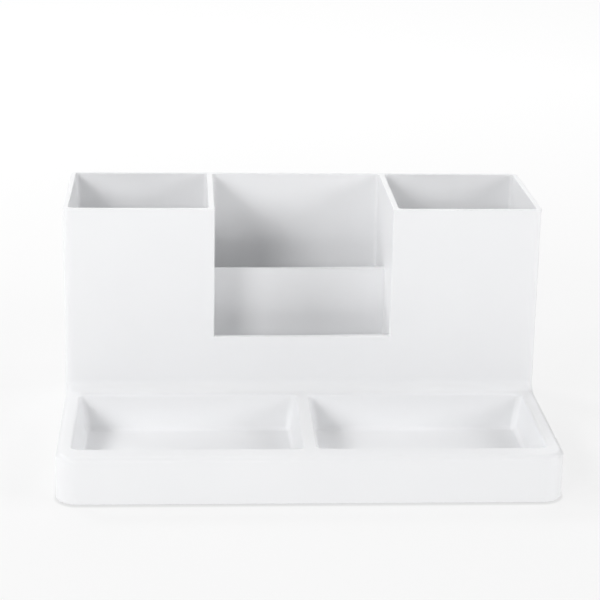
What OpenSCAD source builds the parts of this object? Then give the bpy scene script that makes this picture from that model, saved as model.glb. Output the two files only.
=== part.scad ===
// Desk organizer. A low tray with two pockets makes the front and the base. A caddy
// of four open bays plugs into a low lip round the tray's back deck: a pen cup at each
// side, and between them a deep bay behind a low panel and a shallow one in front.
// A blend at the foot of the lip makes the caddy's front run smoothly into the tray.
// Millimetres, +Z up. The origin is on the desk, under the middle of the outline.
// The front faces -Y.

/* [Overall] */
// Width of the tray and of the caddy
overall_w = 216; // [206:1:250]
// Depth from the tray's front to the caddy's back
overall_d = 157; // [150:1:180]
// Height of the caddy's rim above the desk
overall_h = 107; // [95:1:130]
// Thickness of the moulded walls and floors
wall = 2.4; // [2:0.1:2.8]

/* [Tray] */
// Height of the tray's rim above the desk
tray_h = 21.6; // [21:0.1:24]
// Gap between the tray's bottom edge and the desk
ground_gap = 0.8; // [0.5:0.1:1]
// Plan radius of the tray's front corners
tray_corner_r = 10; // [6:0.5:14]
// Radius of the tray's top outer edge
tray_edge_r = 2.5; // [1.5:0.1:3]
// Width of the rim in front of the pockets
front_rim = 11; // [9:0.5:14]
// Width of the rim beside the pockets
side_rim = 7; // [7:0.5:12]
// Width of the ridge between the pockets
ridge_w = 6; // [5.5:0.5:10]
// Width of the flat land between the pockets and the caddy
land = 8; // [6:0.5:14]
// Height of the pocket floors above the desk
pocket_floor_z = 5.2; // [5:0.1:6.5]
// Plan radius of the pocket corners
pocket_corner_r = 3; // [3:0.5:8]
// Radius between a pocket's walls and its floor
pocket_floor_r = 2; // [1:0.5:3]
// How far the pockets' walls lean in at their foot
pocket_draft = 2; // [0:0.5:3]
// Height of the lip round the caddy, above the deck
lip_h = 5; // [5:0.5:8]
// Thickness of that lip
lip_t = 1.2; // [1:0.1:1.3]
// Radius of the blend between the lip's front and the land
foot_blend_r = 4.5; // [2:0.5:5]

/* [Caddy] */
// Depth of the caddy from front to back
caddy_d = 72; // [68:1:80]
// Plan radius of the caddy's outer corners
caddy_corner_r = 3.5; // [3:0.5:6]
// Thickness of the two cross walls between the bays
divider_t = 2.8; // [2:0.1:4]
// Clear width of the two centre bays
centre_w = 80.4; // [70:0.1:90]
// Clear depth of the front centre bay
front_bay_d = 27.6; // [20:0.1:34]
// Height of the low front wall's top above the desk
front_wall_z = 47; // [35:0.5:60]
// Height of the centre panel's top above the desk
panel_z = 70.7; // [61:0.1:90]
// Radius of the bays' inner corners
bay_corner_r = 2; // [1:0.5:4]

/* [Fastening] */
// Distance from the middle of the tray to each peg, across
peg_x = 64; // [56:1:66]
// Distance from the caddy's middle to each peg, front to back
peg_y = 19; // [15:1:22]
// Diameter of the locating pegs under the caddy
peg_d = 7; // [6.5:0.1:7.5]
// Clearance all round between a peg and its collar
peg_clear = 0.15; // [0.1:0.05:0.3]
// Thread diameter of the screws
screw_d = 3; // [2.8:0.1:3.2]
// Length of the screws under their heads
screw_len = 9; // [7:0.5:9.5]

/* [Feet] */
// Diameter of the foot pads
pad_d = 10; // [8:0.5:12]
// Thickness of the foot pads
pad_t = 2; // [1.8:0.1:2.2]
// Distance from the side of the tray to the middle of each pad
pad_inset_x = 15; // [15:1:20]
// Distance from the front or back of the tray to the middle of each pad
pad_inset_y = 22; // [22:1:26]

/* [Hidden] */
$fn = 48;
HULL_FN = 32;      // facets of the shapes that are hulled
PAST = 1;          // how far a cut runs past the face it opens
LIP_CLEAR = 0.1;   // clearance between the lip and the caddy inside it
SEAM = 0.1;        // gap between the lip's top and the caddy's shoulder
BLEND_STEPS = 10;  // flats along the blend
SEAT_CLEAR = 0.2;  // clearance all round a pad in its seat
PAD_SEAT_T = 2;    // wall round a pad's seat
COLLAR_T = 2.2;    // wall of the collars round the pegs
COLLAR_LEN = 10;   // length of the collars below the deck
PILOT_GAP = 0.3;   // how far a peg stops short of its collar's end
PILOT_D = 2.6;     // bore that the screw cuts its thread in
PILOT_DEEP = 10.5; // depth of that bore
POCKET_T = 2;      // thickness of the pockets' walls
RIB_T = 1.8;       // thickness of the ribs under the deck
WASHER_T = 0.8;    // collar of the screw's head
WASHER_D = 9.6;
HEAD_D = 6;
HEAD_T = 2;
RECESS_L = 3.4;    // cross recess in the screw's head
RECESS_W = 0.9;
RECESS_DEEP = 1.3;
PAD_EDGE = 0.4;    // bevel of a pad's lower edge

x_side = overall_w / 2;
y_front = -overall_d / 2;
y_back = overall_d / 2;
caddy_y = y_back - caddy_d;                 // front face of the caddy
caddy_mid_y = y_back - caddy_d / 2;
deck_z = tray_h - wall;                     // underside of the deck
lip_z = tray_h + lip_h;                     // top of the lip
floor_z = tray_h + wall;                    // floor of the caddy's bays
bay_y0 = caddy_y + wall;
bay_y1 = y_back - wall;
cup_x0 = centre_w / 2 + divider_t;
cup_x1 = x_side - wall;
panel_y = bay_y0 + front_bay_d;             // front face of the centre panel
pocket_x0 = ridge_w / 2;
pocket_x1 = x_side - side_rim;
pocket_y0 = y_front + front_rim;
pocket_y1 = caddy_y - land;
collar_end_z = deck_z - COLLAR_LEN;
peg_end_z = collar_end_z + PILOT_GAP;
seat_z = pad_t;                             // top of a pad, and roof of its seat

// A prism over the rectangle from [x0, y0] to [x1, y1], with upright edges of radius r
module rounded_prism(x0, y0, x1, y1, z0, z1, r) {
    hull()
        for (x = [x0 + r, x1 - r], y = [y0 + r, y1 - r])
            translate([x, y, z0])
                cylinder(r = r, h = z1 - z0, $fn = HULL_FN);
}

// The part of the tray in front of the caddy: round corners and a round top edge,
// which runs back to where the caddy's own round corners end
module tray_front_block() {
    edge_z = tray_h - tray_edge_r;
    hull() {
        for (side = [-1, 1]) {
            translate([side * (x_side - tray_corner_r), y_front + tray_corner_r, 0]) {
                translate([0, 0, ground_gap])
                    cylinder(r = tray_corner_r, h = edge_z - ground_gap, $fn = HULL_FN);
                translate([0, 0, edge_z])
                    rotate_extrude($fn = HULL_FN)
                        translate([tray_corner_r - tray_edge_r, 0])
                            circle(r = tray_edge_r, $fn = HULL_FN);
            }
            translate([side * (x_side - tray_edge_r), caddy_y, edge_z])
                rotate([-90, 0, 0])
                    cylinder(r = tray_edge_r, h = caddy_corner_r, $fn = HULL_FN);
        }
        translate([-x_side, caddy_y, ground_gap])
            cube([overall_w, caddy_corner_r, edge_z - ground_gap]);
    }
}

// The caddy's outline, drawn in by a margin
module caddy_prism(inset, z0, z1) {
    rounded_prism(-x_side + inset, caddy_y + inset, x_side - inset, y_back - inset,
                  z0, z1, caddy_corner_r - inset);
}

// The hollow curve between the lip's front and the land, between the round corners
module foot_blend() {
    arc = [for (i = [0:BLEND_STEPS])
        let (a = 90 * i / BLEND_STEPS)
        [caddy_y - foot_blend_r * (1 - sin(a)), tray_h + foot_blend_r * (1 - cos(a))]];
    translate([-x_side + caddy_corner_r, 0, 0])
        rotate([90, 0, 90])
            linear_extrude(overall_w - 2 * caddy_corner_r)
                polygon(concat(arc, [[caddy_y + lip_t / 2, tray_h + foot_blend_r],
                                     [caddy_y + lip_t / 2, deck_z],
                                     [caddy_y - foot_blend_r, deck_z]]));
}

// The hollow under the tray, one wall thickness inside its outline
module tray_cavity() {
    front_r = tray_corner_r - wall;
    back_r = caddy_corner_r - wall + PAST;
    hull()
        for (side = [-1, 1]) {
            translate([side * (x_side - wall - front_r), y_front + wall + front_r, -PAST])
                cylinder(r = front_r, h = deck_z + PAST, $fn = HULL_FN);
            translate([side * (x_side - wall - back_r), y_back - wall - back_r, -PAST])
                cylinder(r = back_r, h = deck_z + PAST, $fn = HULL_FN);
        }
}

// The space of the left or right pocket, whose walls lean in and are rounded at their foot
module pocket(side) {
    r = pocket_corner_r;
    mid_x = side * (pocket_x0 + pocket_x1) / 2;
    mid_y = (pocket_y0 + pocket_y1) / 2;
    half_x = (pocket_x1 - pocket_x0) / 2 - r;
    half_y = (pocket_y1 - pocket_y0) / 2 - r;
    hull()
        for (i = [-1, 1], j = [-1, 1])
            translate([mid_x + i * half_x, mid_y + j * half_y, 0]) {
                translate([0, 0, tray_h])
                    cylinder(r = r, h = PAST, $fn = HULL_FN);
                translate([-i * pocket_draft, -j * pocket_draft, pocket_floor_z + pocket_floor_r])
                    rotate_extrude($fn = HULL_FN)
                        intersection() {
                            translate([r - pocket_floor_r, 0])
                                circle(r = pocket_floor_r, $fn = HULL_FN);
                            translate([0, -pocket_floor_r])
                                square([r, pocket_floor_r]);
                        }
            }
}

// The wall round both pockets, with a slot up into the ridge between them
module pocket_shell() {
    difference() {
        rounded_prism(-pocket_x1 - POCKET_T, pocket_y0 - POCKET_T, pocket_x1 + POCKET_T,
                      pocket_y1 + POCKET_T, pocket_floor_z - wall, tray_h,
                      pocket_corner_r + POCKET_T);
        translate([-ridge_w / 2 + POCKET_T, pocket_y0, 0])
            cube([ridge_w - 2 * POCKET_T, pocket_y1 - pocket_y0, deck_z]);
    }
}

module at_pegs() {
    for (x = [-peg_x, peg_x], y = [-peg_y, peg_y])
        translate([x, caddy_mid_y + y, 0])
            children();
}

module at_pads() {
    for (side = [-1, 1], end = [-1, 1])
        translate([side * (x_side - pad_inset_x), end * (y_back - pad_inset_y), 0])
            children();
}

// What stands inside the tray's hollow underside: the shell round the pockets,
// the ribs under the cross walls, the collars for the pegs and the pad seats
module tray_inner_walls() {
    pocket_shell();
    for (side = [-1, 1])
        translate([side * (centre_w + divider_t) / 2 - RIB_T / 2, pocket_y1, ground_gap])
            cube([RIB_T, y_back - pocket_y1, tray_h - ground_gap]);
    at_pegs()
        translate([0, 0, collar_end_z])
            cylinder(d = peg_d + 2 * (peg_clear + COLLAR_T), h = COLLAR_LEN + PAST);
    at_pads()
        translate([0, 0, ground_gap])
            cylinder(d = pad_d + 2 * (SEAT_CLEAR + PAD_SEAT_T), h = deck_z);
}

module base_tray() {
    color("white")
        difference() {
            union() {
                tray_front_block();
                caddy_prism(0, ground_gap, lip_z);
                foot_blend();
            }
            caddy_prism(lip_t, tray_h, lip_z + PAST);
            difference() {
                tray_cavity();
                tray_inner_walls();
            }
            for (side = [-1, 1])
                pocket(side);
            at_pegs()
                translate([0, 0, collar_end_z - PAST])
                    cylinder(d = peg_d + 2 * peg_clear, h = tray_h - collar_end_z + 2 * PAST);
            at_pads()
                translate([0, 0, -PAST])
                    cylinder(d = pad_d + 2 * SEAT_CLEAR, h = seat_z + PAST);
        }
}

module caddy() {
    color("white")
        difference() {
            union() {
                caddy_prism(0, lip_z + SEAM, overall_h);
                caddy_prism(lip_t + LIP_CLEAR, tray_h, lip_z + PAST);
                at_pegs()
                    translate([0, 0, peg_end_z])
                        cylinder(d = peg_d, h = tray_h - peg_end_z + PAST);
            }
            for (side = [-1, 1])
                rounded_prism(side > 0 ? cup_x0 : -cup_x1, bay_y0,
                              side > 0 ? cup_x1 : -cup_x0, bay_y1,
                              floor_z, overall_h + PAST, bay_corner_r);
            rounded_prism(-centre_w / 2, bay_y0, centre_w / 2, panel_y,
                          floor_z, overall_h + PAST, bay_corner_r);
            rounded_prism(-centre_w / 2, panel_y + wall, centre_w / 2, bay_y1,
                          floor_z, overall_h + PAST, bay_corner_r);
            translate([-centre_w / 2, bay_y0, panel_z])
                cube([centre_w, front_bay_d + wall + bay_corner_r, overall_h]);
            translate([-centre_w / 2, caddy_y - PAST, front_wall_z])
                cube([centre_w, wall + bay_corner_r + PAST, overall_h]);
            at_pegs()
                translate([0, 0, peg_end_z - PAST])
                    cylinder(d = PILOT_D, h = PILOT_DEEP + PAST);
        }
}

// Four self-tapping screws with washer heads, driven up into the pegs
module caddy_screws() {
    color("silver")
        at_pegs()
            translate([0, 0, collar_end_z])
                difference() {
                    union() {
                        cylinder(d = screw_d, h = screw_len - screw_d / 2);
                        translate([0, 0, screw_len - screw_d / 2])
                            cylinder(d1 = screw_d, d2 = screw_d / 4, h = screw_d / 2);
                        translate([0, 0, -WASHER_T])
                            cylinder(d = WASHER_D, h = WASHER_T);
                        translate([0, 0, -WASHER_T - HEAD_T])
                            cylinder(d1 = HEAD_D - 1, d2 = HEAD_D, h = HEAD_T);
                    }
                    for (turn = [0, 90])
                        rotate([0, 0, turn])
                            translate([-RECESS_L / 2, -RECESS_W / 2,
                                       -WASHER_T - HEAD_T - PAST])
                                cube([RECESS_L, RECESS_W, RECESS_DEEP + PAST]);
                }
}

module foot_pad(side, end) {
    color("gray")
        translate([side * (x_side - pad_inset_x), end * (y_back - pad_inset_y), 0]) {
            cylinder(d1 = pad_d - 2 * PAD_EDGE, d2 = pad_d, h = PAD_EDGE);
            translate([0, 0, PAD_EDGE])
                cylinder(d = pad_d, h = pad_t - PAD_EDGE);
        }
}

base_tray();
caddy();
caddy_screws();
foot_pad(-1, -1);  // foot_pad_front_left
foot_pad(1, -1);  // foot_pad_front_right
foot_pad(-1, 1);  // foot_pad_rear_left
foot_pad(1, 1);  // foot_pad_rear_right
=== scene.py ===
"""Looks of the desk organizer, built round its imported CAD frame.

Metres, +Z up, the front faces -Y. The tray and the caddy are rebuilt as smooth moulded
skins with their true fillets. The screws and the pads get their small details."""

import math

import bmesh
import bpy
from mathutils import Matrix, Vector
from mathutils.geometry import tessellate_polygon


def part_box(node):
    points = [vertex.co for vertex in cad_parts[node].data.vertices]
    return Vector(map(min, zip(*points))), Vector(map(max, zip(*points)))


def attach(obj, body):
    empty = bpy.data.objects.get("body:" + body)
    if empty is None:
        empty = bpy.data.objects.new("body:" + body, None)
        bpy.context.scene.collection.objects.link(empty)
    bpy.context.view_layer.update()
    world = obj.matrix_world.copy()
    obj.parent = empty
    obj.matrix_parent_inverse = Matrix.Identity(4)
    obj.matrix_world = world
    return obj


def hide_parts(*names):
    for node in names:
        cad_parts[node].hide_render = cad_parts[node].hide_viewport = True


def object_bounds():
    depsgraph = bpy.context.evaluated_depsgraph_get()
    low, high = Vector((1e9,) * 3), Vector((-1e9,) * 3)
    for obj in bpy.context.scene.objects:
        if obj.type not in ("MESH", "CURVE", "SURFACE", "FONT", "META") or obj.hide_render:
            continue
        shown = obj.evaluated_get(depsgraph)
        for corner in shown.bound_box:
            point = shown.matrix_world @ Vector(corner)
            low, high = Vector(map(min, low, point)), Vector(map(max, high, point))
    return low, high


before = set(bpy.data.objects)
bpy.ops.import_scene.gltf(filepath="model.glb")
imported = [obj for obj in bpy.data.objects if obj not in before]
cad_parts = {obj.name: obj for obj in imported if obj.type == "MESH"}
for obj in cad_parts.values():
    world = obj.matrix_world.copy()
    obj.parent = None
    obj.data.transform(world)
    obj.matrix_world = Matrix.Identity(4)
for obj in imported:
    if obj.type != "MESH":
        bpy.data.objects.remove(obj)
cad_low, cad_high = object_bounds()

MM = 0.001
WELD = 0.002 * MM            # points closer than this are one point
FLAT = math.radians(0.3)     # faces that meet at less than this are one flat face
SHARP = math.radians(40)     # faces that meet at more than this meet in a sharp edge
RIGHT = Vector((1, 0, 0))
FRONT = Vector((0, -1, 0))
UP = Vector((0, 0, 1))

# ------------------------------------------------------------------ dimensions
tray_low, tray_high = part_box("base_tray")
caddy_low, caddy_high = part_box("caddy")
pad_low, pad_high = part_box("foot_pad_rear_right")
screw_tip_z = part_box("caddy_screws")[1].z

x_side = tray_high.x
y_front = tray_low.y
y_back = tray_high.y
tray_bottom_z = tray_low.z
lip_z = tray_high.z
rim_z = caddy_high.z

wall = 2.4 * MM
lip_h = 5 * MM                        # the lip stands this far above the tray's top
tray_z = lip_z - lip_h                # top of the tray
deck_z = tray_z - wall                # underside of the deck
caddy_depth = 72 * MM
caddy_y = y_back - caddy_depth        # front face of the caddy
seam = 0.02 * MM                      # the joint under the caddy's edge, drawn closed up
lip_t = 1.2 * MM
lip_clear = 0.1 * MM
tray_corner_r = 10 * MM
tray_edge_r = 2.5 * MM
caddy_corner_r = 3.5 * MM
blend_r = 4.5 * MM                    # hollow curve where the caddy's front meets the tray
bottom_r = 0.3 * MM                   # round of the tray's bottom edge
rim_r = 0.5 * MM                      # round of the caddy's rims

half_ridge = 3 * MM                   # half the ridge between the pockets
side_rim = 7 * MM                     # the tray's rims beside, in front of and behind the pockets
front_rim = 11 * MM
back_rim = 8 * MM
pocket_x0 = half_ridge
pocket_x1 = x_side - side_rim
pocket_y0 = y_front + front_rim
pocket_y1 = caddy_y - back_rim
pocket_floor_z = 5.2 * MM
pocket_corner_r = 3 * MM
pocket_floor_r = 2 * MM
pocket_draft = 2 * MM                 # how far the pockets' walls lean in at their foot
mouth_r = 1.2 * MM
shell_t = 2 * MM                      # walls of the pockets, seen from below
shell_z = pocket_floor_z - wall

rib_x0 = 40.7 * MM                    # faces of the ribs under the caddy's cross walls
rib_x1 = 42.5 * MM

centre_x = 40.2 * MM                  # half the clear width of the centre bays
cross_wall = 2.8 * MM                 # wall between a cup and the centre bays
front_bay_depth = 27.6 * MM
cup_x0 = centre_x + cross_wall
cup_x1 = x_side - wall
bay_y0 = caddy_y + wall
bay_y1 = y_back - wall
panel_y = bay_y0 + front_bay_depth
panel_z = 70.7 * MM
front_wall_z = 47 * MM
bay_floor_z = tray_z + wall
bay_floor_r = 1.5 * MM
bay_corner_r = 2 * MM

caddy_mid_y = (caddy_y + y_back) / 2
peg_xy = (64 * MM, 19 * MM)           # from the middle of the caddy
PEGS = [(x, caddy_mid_y + y) for x in (-peg_xy[0], peg_xy[0]) for y in (-peg_xy[1], peg_xy[1])]
peg_r = 3.5 * MM
peg_clear = 0.15 * MM
peg_end_z = caddy_low.z
pilot_r = 1.3 * MM
pilot_depth = 10.5 * MM
pilot_top_z = peg_end_z + pilot_depth
collar_t = 2.2 * MM                   # wall of the collars that take the pegs
collar_past_peg = 0.3 * MM
collar_hole_r = peg_r + peg_clear
collar_r = collar_hole_r + collar_t
collar_end_z = peg_end_z - collar_past_peg

CORNERS = ("front_left", "front_right", "rear_left", "rear_right")    # where the pads are
pad_r = (pad_high.x - pad_low.x) / 2
pad_top_z = pad_high.z
pad_clear = 0.2 * MM
post_t = 2 * MM                       # wall of the posts that hold the pads
seat_r = pad_r + pad_clear
post_r = seat_r + post_t
pad_edge_r = 0.4 * MM
dish_r = 3.2 * MM                     # the shallow dish in a pad's sole
dish_t = 0.15 * MM
dish_centre_r = 0.05 * MM             # a disc this small closes the dish

screw_r = 1.5 * MM
screw_core_r = 1.15 * MM
screw_pitch = 1.35 * MM
screw_crest_share = 0.28              # half width of the thread's foot, as a share of the pitch
screw_point_share = 0.12              # share of the shank over which its point narrows
head_r = 3 * MM
head_t = 2 * MM
head_dome_share = 0.45                # share of the head's height that its dome takes
head_centre_r = 0.02 * MM             # a disc this small closes the dome
washer_r = 4.8 * MM
washer_t = 0.8 * MM
washer_soft = 0.15 * MM               # bevel of the washer's edges
recess_half = (1.7 * MM, 0.45 * MM)   # half length and half width of the cross recess's arms
recess_corner_r = 0.1 * MM
recess_deep = 1.3 * MM
recess_cutter_h = 3 * MM

CORNER_STEPS = 20
EDGE_STEPS = 8
BLEND_STEPS = 10
ROUND_STEPS = 48
EDGE_BEVEL_STEPS = 4
SCREW_ROWS = 90
RIM_ANGLE = math.radians(50)          # the rims' edges are sharper than this
RIM_MARGIN = 1 * MM                   # the rims start this far under the front wall's top
PAST = 5 * MM                         # how far a cutter reaches past what it cuts


# ------------------------------------------------------------------ mesh tools
class Skin:
    """A mesh made of bands and flat plates; points that touch are welded at the end."""

    def __init__(self):
        self.mesh = bmesh.new()

    def face(self, points):
        self.mesh.faces.new([self.mesh.verts.new(p) for p in points])

    def band(self, first, second, closed=True):
        """Quads between two loops of as many points."""
        count = len(first)
        for i in range(count if closed else count - 1):
            j = (i + 1) % count
            self.face([first[i], first[j], second[j], second[i]])

    def stack(self, loops, closed=True):
        for first, second in zip(loops, loops[1:]):
            self.band(first, second, closed)

    def plate(self, outer, holes=()):
        """Flat faces that fill a loop, apart from the holes in it."""
        loops = [outer, *holes]
        points = [p for loop in loops for p in loop]
        for corners in tessellate_polygon(loops):
            self.face([points[i] for i in corners])

    def closed_stack(self, loops):
        """Bands between the loops, with a plate in the first one and in the last."""
        self.stack(loops)
        self.plate(loops[0])
        self.plate(loops[-1])

    def weld(self):
        """The welded mesh, its flat stretches as few large faces and its normals outwards."""
        mesh = self.mesh
        bmesh.ops.remove_doubles(mesh, verts=mesh.verts, dist=WELD)
        bmesh.ops.dissolve_limit(mesh, angle_limit=FLAT, verts=mesh.verts, edges=mesh.edges)
        bmesh.ops.recalc_face_normals(mesh, faces=mesh.faces)
        return mesh


def new_object(name, mesh):
    """A Blender object from a bmesh, which is used up."""
    data = bpy.data.meshes.new(name)
    mesh.to_mesh(data)
    mesh.free()
    made = bpy.data.objects.new(name, data)
    bpy.context.scene.collection.objects.link(made)
    return made


def cut_away(target, cutters):
    """Takes the cutters' volumes out of the target and removes the cutters."""
    for cutter in cutters:
        step = target.modifiers.new("cut", "BOOLEAN")
        step.operation = "DIFFERENCE"
        step.solver = "EXACT"
        step.object = cutter
    graph = bpy.context.evaluated_depsgraph_get()
    cut = bpy.data.meshes.new_from_object(target.evaluated_get(graph))
    target.modifiers.clear()
    target.data = cut
    for cutter in cutters:
        bpy.data.objects.remove(cutter)


def smooth_shaded(piece):
    """Smooth shading that keeps the large flat faces flat and the sharp edges sharp."""
    for face in piece.data.polygons:
        face.use_smooth = True
    piece.data.set_sharp_from_angle(angle=SHARP)
    normals = piece.modifiers.new("normals", "WEIGHTED_NORMAL")
    normals.mode = "FACE_AREA"
    normals.weight = 100
    normals.keep_sharp = True


def stand_for(piece, node, material):
    """The piece rides on the body in place of a CAD node, with its material and slot."""
    piece.data.materials.clear()
    piece.data.materials.append(material)
    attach(piece, "root")
    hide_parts(node)


def quarter(mid_x, mid_y, radius, start, z, steps):
    """A quarter circle, counterclockwise from the angle start in degrees."""
    turns = [math.radians(start + 90 * k / steps) for k in range(steps + 1)]
    return [Vector((mid_x + radius * math.cos(a), mid_y + radius * math.sin(a), z))
            for a in turns]


def outline(x0, y0, x1, y1, z, radii, steps=(CORNER_STEPS, CORNER_STEPS)):
    """A loop round a rectangle, counterclockwise from its front right corner.
    radii and steps are the front corners' and the back corners'."""
    front, back = radii
    front_steps, back_steps = steps
    return [
        *quarter(x1 - front, y0 + front, front, -90, z, front_steps),
        *quarter(x1 - back, y1 - back, back, 0, z, back_steps),
        *quarter(x0 + back, y1 - back, back, 90, z, back_steps),
        *quarter(x0 + front, y0 + front, front, 180, z, front_steps),
    ]


def circle(centre, radius, z, steps=ROUND_STEPS):
    turns = [2 * math.pi * k / steps for k in range(steps)]
    return [Vector((centre[0] + radius * math.cos(a), centre[1] + radius * math.sin(a), z))
            for a in turns]


def at_height(loop, z):
    return [Vector((p.x, p.y, z)) for p in loop]


def mirrored(p):
    return Vector((-p.x, p.y, p.z))


def turns_to_right_angle(steps):
    return [math.pi / 2 * k / steps for k in range(steps + 1)]


def pad_centre(corner):
    low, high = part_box("foot_pad_" + corner)
    return (low.x + high.x) / 2, (low.y + high.y) / 2


# ------------------------------------------------------------------ tray
def tray_outline(inset, z):
    return outline(-x_side + inset, y_front + inset, x_side - inset, y_back - inset, z,
                   (tray_corner_r - inset, caddy_corner_r - inset))


def lip_outline(inset, z):
    return outline(-x_side + inset, caddy_y + inset, x_side - inset, y_back - inset, z,
                   (caddy_corner_r - inset, caddy_corner_r - inset), (EDGE_STEPS, CORNER_STEPS))


def rim_stations():
    """Places along the tray's top edge, from the lip's right corner round the front to its left
    corner: the sharp edge's point, the directions out of its side and its top, and its radius."""
    right = [(Vector((x_side, caddy_y, lip_z)), RIGHT, FRONT, caddy_corner_r)]
    centre = Vector((x_side, caddy_y - blend_r, tray_z + blend_r))
    for turn in turns_to_right_angle(BLEND_STEPS):
        top = Vector((0, -math.cos(turn), math.sin(turn)))
        share = turn / (math.pi / 2)
        radius = caddy_corner_r + share * (tray_edge_r - caddy_corner_r)
        right.append((centre - blend_r * top, RIGHT, top, radius))
    centre = Vector((x_side - tray_corner_r, y_front + tray_corner_r, tray_z))
    for turn in turns_to_right_angle(CORNER_STEPS):
        side = Vector((math.cos(turn), -math.sin(turn), 0))
        right.append((centre + tray_corner_r * side, side, UP, tray_edge_r))
    left = [(mirrored(p), mirrored(side), top, radius)
            for p, side, top, radius in reversed(right)]
    return right + left


def pocket_loop(side, lean, outset, z):
    """A pocket's outline at height z: its walls leaned in by lean, then moved out by outset."""
    x0, x1 = sorted((side * pocket_x0, side * pocket_x1))
    out = outset - lean
    radius = pocket_corner_r + outset
    return outline(x0 - out, pocket_y0 - out, x1 + out, pocket_y1 + out, z, (radius, radius))


def pocket_loops(side):
    """The loops of a pocket's skin, from its round mouth down to its floor."""
    mouth = [pocket_loop(side, 0, mouth_r * (1 - math.sin(t)), tray_z - mouth_r * (1 - math.cos(t)))
             for t in turns_to_right_angle(EDGE_STEPS)]
    foot = [pocket_loop(side, pocket_draft, -pocket_floor_r * (1 - math.cos(t)),
                        pocket_floor_z + pocket_floor_r * (1 - math.sin(t)))
            for t in turns_to_right_angle(EDGE_STEPS)]
    return mouth + foot


def tray_outside(skin):
    stations = rim_stations()
    edge_rows = [[p - r * (1 - math.cos(t)) * side - r * (1 - math.sin(t)) * top
                  for p, side, top, r in stations] for t in turns_to_right_angle(EDGE_STEPS)]
    side_row, top_row = edge_rows[0], edge_rows[-1]
    blend_end = BLEND_STEPS + 1
    skin.stack(edge_rows, closed=False)
    for k in range(blend_end):
        skin.face([top_row[k], top_row[k + 1], top_row[-2 - k], top_row[-1 - k]])
    mouths = [pocket_loops(side)[0] for side in (-1, 1)]
    skin.plate(top_row[blend_end:-blend_end], mouths)
    for side in (-1, 1):
        loops = pocket_loops(side)
        skin.stack(loops)
        skin.plate(loops[-1])

    wall_foot_z = tray_bottom_z + bottom_r
    front = side_row[blend_end + 1:-blend_end - 1]
    skin.band(front, at_height(front, wall_foot_z), closed=False)
    back = tray_outline(0, lip_z)[CORNER_STEPS + 1:3 * CORNER_STEPS + 3]
    skin.band(back, at_height(back, wall_foot_z), closed=False)
    right_wall = [*side_row[:blend_end + 2],
                  *at_height([side_row[blend_end + 1], back[0]], wall_foot_z), back[0]]
    skin.face(right_wall)
    skin.face([mirrored(p) for p in right_wall])
    skin.stack([tray_outline(bottom_r * (1 - math.cos(t)),
                             tray_bottom_z + bottom_r * (1 - math.sin(t)))
                for t in turns_to_right_angle(EDGE_STEPS)])


def tray_lip(skin):
    skin.stack([lip_outline(0, lip_z), lip_outline(lip_t, lip_z), lip_outline(lip_t, tray_z)])
    skin.plate(lip_outline(lip_t, tray_z), [circle(c, collar_hole_r, tray_z) for c in PEGS])
    for centre in PEGS:
        skin.stack([circle(centre, collar_hole_r, tray_z),
                    circle(centre, collar_hole_r, collar_end_z),
                    circle(centre, collar_r, collar_end_z), circle(centre, collar_r, deck_z)])


def shell_outline(z):
    """The outer face of the wall round both pockets, with points where the ribs meet it."""
    x1, y1 = pocket_x1 + shell_t, pocket_y1 + shell_t
    radius = pocket_corner_r + shell_t
    loop = outline(-x1, pocket_y0 - shell_t, x1, y1, z, (radius, radius))
    back_middle = 2 * CORNER_STEPS + 2
    ribs = [Vector((x, y1, z)) for x in (rib_x1, rib_x0, -rib_x0, -rib_x1)]
    return loop[:back_middle] + ribs + loop[back_middle:], back_middle


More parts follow.
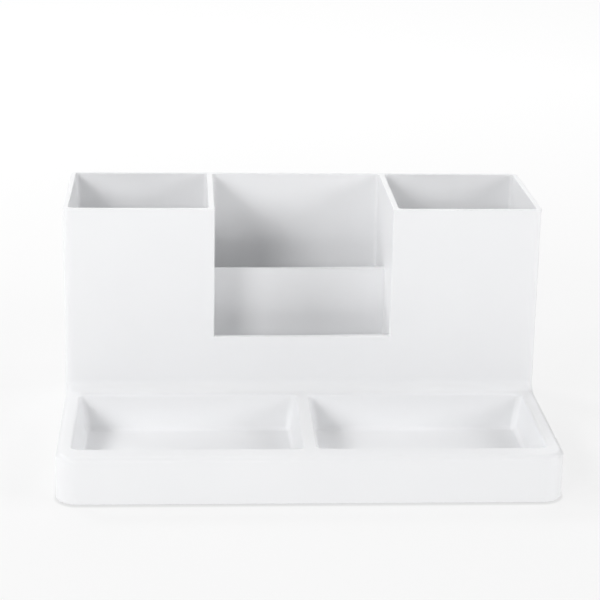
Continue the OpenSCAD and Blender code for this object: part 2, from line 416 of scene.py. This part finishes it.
def tray_underside(skin):
    shell_y, inner_y = pocket_y1 + shell_t, y_back - wall
    inner = tray_outline(wall, deck_z)
    half = 2 * CORNER_STEPS + 2
    # the inner face of the outside wall, from the left rib round the front to the right rib
    ring = [Vector((-rib_x1, inner_y, deck_z)), *inner[half:], *inner[:half],
            Vector((rib_x1, inner_y, deck_z))]
    middle = [Vector((rib_x0, inner_y, deck_z)), Vector((-rib_x0, inner_y, deck_z))]
    for stretch in (ring, middle):
        skin.band(stretch, at_height(stretch, tray_bottom_z), closed=False)
    notch = [Vector((x, y, tray_bottom_z)) for x, y in (
        (rib_x1, shell_y), (rib_x0, shell_y), (rib_x0, inner_y),
        (-rib_x0, inner_y), (-rib_x0, shell_y), (-rib_x1, shell_y))]
    skin.plate(tray_outline(bottom_r, tray_bottom_z), [at_height(ring, tray_bottom_z) + notch])
    for x in (-rib_x1, -rib_x0, rib_x0, rib_x1):
        skin.face([Vector((x, y, z)) for y, z in (
            (inner_y, tray_bottom_z), (inner_y, deck_z), (shell_y, deck_z),
            (shell_y, shell_z), (shell_y, tray_bottom_z))])
    for side in (-1, 1):
        skin.face([Vector((side * x, shell_y, z)) for x, z in (
            (rib_x0, tray_bottom_z), (rib_x1, tray_bottom_z),
            (rib_x1, shell_z), (rib_x0, shell_z))])

    shell, first_rib = shell_outline(shell_z)
    rib_ends = (first_rib, first_rib + 2)
    for i, p in enumerate(shell):
        if i not in rib_ends:
            q = shell[(i + 1) % len(shell)]
            skin.band([p, q], at_height([p, q], deck_z), closed=False)
    slot = outline(-pocket_x0 + shell_t, pocket_y0, pocket_x0 - shell_t, pocket_y1, shell_z,
                   (0, 0), (1, 1))
    skin.band(slot, at_height(slot, deck_z))
    skin.plate(at_height(slot, deck_z))
    pads = [pad_centre(corner) for corner in CORNERS]
    front_pads, rear_pads = pads[:2], pads[2:]
    skin.plate(shell, [slot, *(circle(c, post_r, shell_z) for c in front_pads)])
    around = at_height(shell[first_rib + 3:] + shell[:first_rib + 1], deck_z)
    skin.plate(ring + around[::-1], [*(circle(c, collar_r, deck_z) for c in PEGS),
                                     *(circle(c, post_r, deck_z) for c in rear_pads)])
    skin.plate([*middle, *at_height([shell[first_rib + 2], shell[first_rib + 1]], deck_z)])
    for centre in pads:
        root_z = shell_z if centre in front_pads else deck_z
        loops = [circle(centre, post_r, root_z), circle(centre, post_r, tray_bottom_z),
                 circle(centre, seat_r, tray_bottom_z), circle(centre, seat_r, pad_top_z)]
        skin.stack(loops)
        skin.plate(loops[-1])


def make_tray(material):
    skin = Skin()
    tray_outside(skin)
    tray_lip(skin)
    tray_underside(skin)
    piece = new_object("tray_moulding", skin.weld())
    smooth_shaded(piece)
    stand_for(piece, "base_tray", material)


# ------------------------------------------------------------------ caddy
def prism(loop, z0, z1):
    skin = Skin()
    skin.closed_stack([at_height(loop, z0), at_height(loop, z1)])
    return new_object("cutter", skin.weld())


def caddy_block():
    """The caddy before its bays are cut: the block, the plug under it and the pegs."""
    skin = Skin()
    inset = lip_t + lip_clear
    shoulder_z = lip_z + seam
    plug = lip_outline(inset, tray_z)
    skin.plate(plug, [circle(c, peg_r, tray_z) for c in PEGS])
    skin.stack([plug, lip_outline(inset, shoulder_z),
                lip_outline(0, shoulder_z), lip_outline(0, rim_z)])
    skin.plate(lip_outline(0, rim_z))
    for centre in PEGS:
        loops = [circle(centre, peg_r, tray_z), circle(centre, peg_r, peg_end_z),
                 circle(centre, pilot_r, peg_end_z), circle(centre, pilot_r, pilot_top_z)]
        skin.stack(loops)
        skin.plate(loops[-1])
    return new_object("caddy_moulding", skin.weld())


def cup_cutter(side):
    """The space of a pen cup, with round corners and a round foot."""
    x0, x1 = sorted((side * cup_x0, side * cup_x1))

    def loop(inset, z):
        radius = bay_corner_r - inset
        return outline(x0 + inset, bay_y0 + inset, x1 - inset, bay_y1 - inset, z, (radius, radius))

    foot = [loop(bay_floor_r * (1 - math.cos(t)), bay_floor_z + bay_floor_r * (1 - math.sin(t)))
            for t in turns_to_right_angle(EDGE_STEPS)]
    skin = Skin()
    skin.closed_stack([loop(0, rim_z + PAST), *foot])
    return new_object("cutter", skin.weld())


def centre_cutters():
    """The space of both centre bays, seen from the side, and the back bay's round corners."""
    back_y = bay_y1 - bay_corner_r
    profile = [(caddy_y - PAST, front_wall_z), (bay_y0, front_wall_z), (bay_y0, bay_floor_z),
               (panel_y, bay_floor_z), (panel_y, panel_z), (panel_y + wall, panel_z),
               (panel_y + wall, bay_floor_z), (back_y, bay_floor_z),
               (back_y, rim_z + PAST), (caddy_y - PAST, rim_z + PAST)]
    left = [Vector((-centre_x, y, z)) for y, z in profile]
    right = [mirrored(p) for p in left]
    skin = Skin()
    skin.closed_stack([left, right])
    back = outline(-centre_x, back_y - PAST, centre_x, bay_y1, 0,
                   (0, bay_corner_r), (1, CORNER_STEPS))
    return [new_object("cutter", skin.weld()), prism(back, bay_floor_z, rim_z + PAST)]


def round_sharp_edges(piece, lowest_z):
    """Rounds every sharp edge above a height."""
    mesh = bmesh.new()
    mesh.from_mesh(piece.data)
    bmesh.ops.remove_doubles(mesh, verts=mesh.verts, dist=WELD)
    bmesh.ops.dissolve_limit(mesh, angle_limit=FLAT, verts=mesh.verts, edges=mesh.edges)
    sharp = [e for e in mesh.edges
             if len(e.link_faces) == 2 and e.calc_face_angle() > RIM_ANGLE
             and min(v.co.z for v in e.verts) > lowest_z]
    bmesh.ops.bevel(mesh, geom=sharp, offset=rim_r, offset_type="OFFSET", segments=EDGE_BEVEL_STEPS,
                    profile=0.5, affect="EDGES", clamp_overlap=False)
    mesh.to_mesh(piece.data)
    mesh.free()


def make_caddy(material):
    piece = caddy_block()
    cut_away(piece, [*(cup_cutter(side) for side in (-1, 1)), *centre_cutters()])
    round_sharp_edges(piece, front_wall_z - RIM_MARGIN)
    smooth_shaded(piece)
    stand_for(piece, "caddy", material)


# ------------------------------------------------------------------ screws and pads
def screw_thread(centre, z0, z1):
    """Loops of a coarse self-tapping thread, which fades in at its foot and out at its point."""
    rows = []
    for k in range(SCREW_ROWS + 1):
        share = k / SCREW_ROWS
        z = z0 + share * (z1 - z0)
        point = min(1, (1 - share) / screw_point_share)
        row = []
        for i in range(ROUND_STEPS):
            turn = i / ROUND_STEPS
            phase = ((z - z0) / screw_pitch - turn) % 1
            crest = max(0, 1 - abs(phase - 0.5) / screw_crest_share)
            crest *= min(1, share / screw_point_share)
            radius = point * (screw_core_r + crest * (screw_r - screw_core_r))
            row.append(Vector((centre[0] + radius * math.cos(2 * math.pi * turn),
                               centre[1] + radius * math.sin(2 * math.pi * turn), z)))
        rows.append(row)
    return rows


def screw_skin(centre):
    """A pan-head screw with a washer under its head; the head faces down."""
    seat_z = collar_end_z
    head_low_z = seat_z - washer_t - head_t
    dome = [(head_r * math.sin(t), head_low_z + head_dome_share * head_t * (1 - math.cos(t)))
            for t in turns_to_right_angle(EDGE_STEPS)]
    flange = [(head_r, seat_z - washer_t), (washer_r - washer_soft, seat_z - washer_t),
              (washer_r, seat_z - washer_t + washer_soft), (washer_r, seat_z - washer_soft),
              (washer_r - washer_soft, seat_z)]
    loops = [circle(centre, max(radius, head_centre_r), z) for radius, z in dome + flange]
    loops += screw_thread(centre, seat_z, screw_tip_z)
    skin = Skin()
    skin.closed_stack(loops)
    return skin


def recess_cutters(centre):
    top_z = collar_end_z - washer_t - head_t + recess_deep
    cutters = []
    for long, short in (recess_half, recess_half[::-1]):
        arm = outline(centre[0] - long, centre[1] - short, centre[0] + long, centre[1] + short, 0,
                      (recess_corner_r, recess_corner_r), (2, 2))
        cutters.append(prism(arm, top_z - recess_cutter_h, top_z))
    return cutters


def make_screws(material):
    whole = bmesh.new()
    for centre in PEGS:
        one = new_object("screw", screw_skin(centre).weld())
        cut_away(one, recess_cutters(centre))
        whole.from_mesh(one.data)
        bpy.data.objects.remove(one)
    piece = new_object("screws", whole)
    smooth_shaded(piece)
    stand_for(piece, "caddy_screws", material)


def make_pad(corner, material):
    """A bumper disc with soft edges and a shallow dish in its sole."""
    sole = [(dish_centre_r, dish_t), (dish_r - dish_t, dish_t), (dish_r, 0)]
    lower = [(pad_r - pad_edge_r * (1 - math.sin(t)), pad_edge_r * (1 - math.cos(t)))
             for t in turns_to_right_angle(EDGE_STEPS)]
    upper = [(pad_r - pad_edge_r * (1 - math.cos(t)), pad_top_z - pad_edge_r * (1 - math.sin(t)))
             for t in turns_to_right_angle(EDGE_STEPS)]
    centre = pad_centre(corner)
    skin = Skin()
    skin.closed_stack([circle(centre, radius, z) for radius, z in sole + lower + upper])
    piece = new_object("pad_" + corner, skin.weld())
    smooth_shaded(piece)
    stand_for(piece, "foot_pad_" + corner, material)


# ------------------------------------------------------------------ materials
class Nodes:
    """A material's node tree, made call by call."""

    def __init__(self, name):
        self.material = bpy.data.materials.new(name)
        self.material.use_nodes = True
        self.tree = self.material.node_tree
        self.shader = self.tree.nodes["Principled BSDF"]
        self.place = self.add("ShaderNodeTexCoord").outputs["Object"]

    def add(self, kind, **values):
        node = self.tree.nodes.new(kind)
        for name, value in values.items():
            setattr(node, name, value)
        return node

    def link(self, output, target):
        self.tree.links.new(output, target)

    def noise(self, scale, detail=2, roughness=0.5):
        """Noise over the object; scale is in cells per metre."""
        node = self.add("ShaderNodeTexNoise")
        node.inputs["Scale"].default_value = scale
        node.inputs["Detail"].default_value = detail
        node.inputs["Roughness"].default_value = roughness
        self.link(self.place, node.inputs["Vector"])
        return node.outputs["Fac"]

    def mapped(self, value, low, high, source=(0.3, 0.7)):
        """The value, from its source range to low..high."""
        node = self.add("ShaderNodeMapRange")
        for name, number in zip(("From Min", "From Max", "To Min", "To Max"), (*source, low, high)):
            node.inputs[name].default_value = number
        self.link(value, node.inputs["Value"])
        return node.outputs["Result"]

    def maths(self, operation, first, second=None):
        """A Math node on one or two values, each a socket or a number."""
        node = self.add("ShaderNodeMath", operation=operation)
        for socket, value in zip(node.inputs, (first, second)):
            if isinstance(value, bpy.types.NodeSocket):
                self.link(value, socket)
            elif value is not None:
                socket.default_value = value
        return node.outputs["Value"]

    def between(self, factor, first, second):
        """A colour between two."""
        node = self.add("ShaderNodeMix", data_type="RGBA")
        node.inputs["A"].default_value = (*first, 1)
        node.inputs["B"].default_value = (*second, 1)
        self.link(factor, node.inputs["Factor"])
        return node.outputs["Result"]

    def bump(self, height, strength, distance, below=None):
        node = self.add("ShaderNodeBump")
        node.inputs["Strength"].default_value = strength
        node.inputs["Distance"].default_value = distance
        self.link(height, node.inputs["Height"])
        if below is not None:
            self.link(below, node.inputs["Normal"])
        return node.outputs["Normal"]

    def set(self, **values):
        for name, value in values.items():
            self.shader.inputs[name.replace("_", " ")].default_value = value


PLASTIC_LIGHT = (0.880, 0.884, 0.894)
PLASTIC_SHADE = (0.866, 0.870, 0.881)
ZINC_LIGHT = (0.62, 0.63, 0.64)
ZINC_SHADE = (0.48, 0.49, 0.52)
RUBBER_LIGHT = (0.085, 0.085, 0.09)
RUBBER_SHADE = (0.055, 0.055, 0.06)


def white_plastic():
    """Cool white satin moulding: a fine spark-eroded grain, and slow changes of gloss and tone."""
    m = Nodes("white_plastic")
    tone = m.mapped(m.noise(scale=22), low=0, high=1)
    m.link(m.between(tone, PLASTIC_LIGHT, PLASTIC_SHADE), m.shader.inputs["Base Color"])
    gloss = m.mapped(m.noise(scale=55, detail=3), low=0.36, high=0.46)
    m.link(gloss, m.shader.inputs["Roughness"])
    swell = m.bump(m.noise(scale=35, detail=1), strength=0.25, distance=0.05 * MM)
    grain = m.bump(m.noise(scale=2600, detail=3, roughness=0.6),
                   strength=0.12, distance=0.02 * MM, below=swell)
    m.link(grain, m.shader.inputs["Normal"])
    m.set(IOR=1.5, Specular_IOR_Level=0.4)
    return m.material


def zinc_steel():
    """Zinc-plated steel: mottled tone and gloss, and a fine unevenness."""
    m = Nodes("zinc_steel")
    tone = m.mapped(m.noise(scale=900, detail=3), low=0, high=1)
    m.link(m.between(tone, ZINC_LIGHT, ZINC_SHADE), m.shader.inputs["Base Color"])
    gloss = m.mapped(m.noise(scale=1500, detail=4), low=0.25, high=0.42)
    m.link(gloss, m.shader.inputs["Roughness"])
    marks = m.bump(m.noise(scale=6000), strength=0.15, distance=0.01 * MM)
    m.link(marks, m.shader.inputs["Normal"])
    m.set(Metallic=1)
    return m.material


def grey_rubber():
    """Matte non-slip rubber."""
    m = Nodes("grey_rubber")
    tone = m.mapped(m.noise(scale=500, detail=3), low=0, high=1)
    m.link(m.between(tone, RUBBER_LIGHT, RUBBER_SHADE), m.shader.inputs["Base Color"])
    gloss = m.mapped(m.noise(scale=1200), low=0.7, high=0.9)
    m.link(gloss, m.shader.inputs["Roughness"])
    grain = m.bump(m.noise(scale=4000), strength=0.4, distance=0.03 * MM)
    m.link(grain, m.shader.inputs["Normal"])
    return m.material


plastic = white_plastic()
make_tray(plastic)
make_caddy(plastic)
make_screws(zinc_steel())
rubber = grey_rubber()
for corner_name in CORNERS:
    make_pad(corner_name, rubber)


# ------------------------------------------------------------------ studio
CAMERA_PLACE = Vector((-53.3, -816.1, 318.5)) * MM
CAMERA_DOWN = 17.125                  # the camera's three turns, in degrees
CAMERA_RIGHT = 3.62
CAMERA_ROLL = 1.09
LENS = 113.75
SENSOR = 36
NEAR = 0.01                           # the camera sees what lies between these distances
FAR = 50

FLOOR_HALF = 4
FLOOR_Z = -0.01 * MM                  # just clear of the pads' soles, so the two don't flicker
FLOOR_TONES = ((0.25, 0.25, 0.25), (0.2475, 0.2475, 0.2475))
# The table's glow is painted light on the table top, brighter far behind the object than near it
FLOOR_GLOW = (0.685, 0.785)           # near the object and far behind it
GLOW_SPAN = (0.1, 0.9)                # from this y to this y the glow grows
# Painted contact shadow: the table's glow dims under the object and just outside its outline
PAINTED_SHADOW_GLOW = 0.82                     # share of the glow that is left under the object
PAINTED_SHADOW_EDGE = 1.2 * MM                 # the glow starts to fall this far outside the outline

WORLD_STRENGTH = 0.22
SOFTBOX_DISTANCE = 1.6
SOFTBOX_SIZE = 0.5
SOFTBOXES = [                         # name, azimuth, elevation, watts
    ("front_left", -30, 20, 7.8),
    ("front_right", 60, 20, 6.5),
    ("upper_left", -60, 40, 3.4),
    ("left", -90, 40, 4.7),
    ("right", 90, 40, 5.0),
    ("back_left", -135, 40, 5.6),
    ("back", 180, 50, 2.0),
]
PANELS = [                            # name, place, direction, size, watts
    ("front_reflector", Vector((0, -0.8, 0.003)), UP, 0.3, 1.5),
    ("backdrop", Vector((0, 2.9, 0.95)), Vector((0, -0.95, -0.31)), 2.4, 22),
]


def make_camera():
    data = bpy.data.cameras.new("camera")
    data.lens = LENS
    data.sensor_width = SENSOR
    data.clip_start = NEAR
    data.clip_end = FAR
    camera = bpy.data.objects.new("camera", data)
    bpy.context.scene.collection.objects.link(camera)
    turn = (Matrix.Rotation(math.radians(-CAMERA_RIGHT), 4, "Z")
            @ Matrix.Rotation(math.radians(90 - CAMERA_DOWN), 4, "X")
            @ Matrix.Rotation(math.radians(CAMERA_ROLL), 4, "Z"))
    camera.matrix_world = Matrix.Translation(CAMERA_PLACE) @ turn
    bpy.context.scene.camera = camera


def make_floor():
    """A white table top that fills the view. Its glow is painted light that grows away from the
    object, and it carries a painted contact shadow under the object.
    """
    data = bpy.data.meshes.new("floor")
    corners = [(x * FLOOR_HALF, y * FLOOR_HALF, FLOOR_Z)
               for x, y in ((-1, -1), (1, -1), (1, 1), (-1, 1))]
    data.from_pydata(corners, [], [(0, 1, 2, 3)])
    floor = bpy.data.objects.new("floor", data)
    bpy.context.scene.collection.objects.link(floor)
    m = Nodes("table_top")
    tone = m.mapped(m.noise(scale=3), low=0, high=1)
    m.link(m.between(tone, *FLOOR_TONES), m.shader.inputs["Base Color"])
    place = m.add("ShaderNodeSeparateXYZ")
    m.link(m.place, place.inputs[0])
    # painted light: the glow grows from the object's side of the table to the far side
    glow = m.mapped(place.outputs["Y"], *FLOOR_GLOW, source=GLOW_SPAN)

    # how far a point lies outside the outline's core, the outline less its corners' radius
    squares = []
    for axis, half in (("X", x_side - tray_corner_r), ("Y", y_back - tray_corner_r)):
        beyond = m.maths("SUBTRACT", m.maths("ABSOLUTE", place.outputs[axis]), half)
        outside = m.maths("MAXIMUM", beyond, 0)
        squares.append(m.maths("MULTIPLY", outside, outside))
    from_core = m.maths("SQRT", m.maths("ADD", *squares))
    # painted contact shadow: the glow falls to a share of itself under the object
    painted_shadow = m.mapped(from_core, PAINTED_SHADOW_GLOW, 1, source=(tray_corner_r, tray_corner_r + PAINTED_SHADOW_EDGE))
    m.link(m.maths("MULTIPLY", glow, painted_shadow), m.shader.inputs["Emission Strength"])
    m.set(Roughness=0.9, Specular_IOR_Level=0.1, Emission_Color=(1, 1, 1, 1))
    data.materials.append(m.material)


def area_light(name, place, direction, size, power):
    """A square light that shines along a direction; the camera doesn't see it."""
    data = bpy.data.lights.new(name, "AREA")
    data.shape = "SQUARE"
    data.size = size
    data.energy = power
    light = bpy.data.objects.new(name, data)
    light.location = place
    light.rotation_euler = direction.to_track_quat("-Z", "Y").to_euler()
    light.visible_camera = False
    bpy.context.scene.collection.objects.link(light)


def softbox(name, azimuth, elevation, power):
    """A light that looks at the object. Azimuth 0 is in front of it and 90 to its right."""
    a, e = math.radians(azimuth), math.radians(elevation)
    away = Vector((math.sin(a) * math.cos(e), -math.cos(a) * math.cos(e), math.sin(e)))
    place = (cad_low + cad_high) / 2 + SOFTBOX_DISTANCE * away
    area_light(name, place, -away, SOFTBOX_SIZE, power)


def make_world():
    world = bpy.data.worlds.new("studio")
    world.use_nodes = True
    background = world.node_tree.nodes["Background"]
    background.inputs["Color"].default_value = (1, 1, 1, 1)
    background.inputs["Strength"].default_value = WORLD_STRENGTH
    bpy.context.scene.world = world


make_camera()
make_floor()
make_world()
for box_name, box_azimuth, box_elevation, box_power in SOFTBOXES:
    softbox(box_name, box_azimuth, box_elevation, box_power)
for panel in PANELS:
    area_light(*panel)
bpy.context.scene.view_settings.view_transform = "Standard"
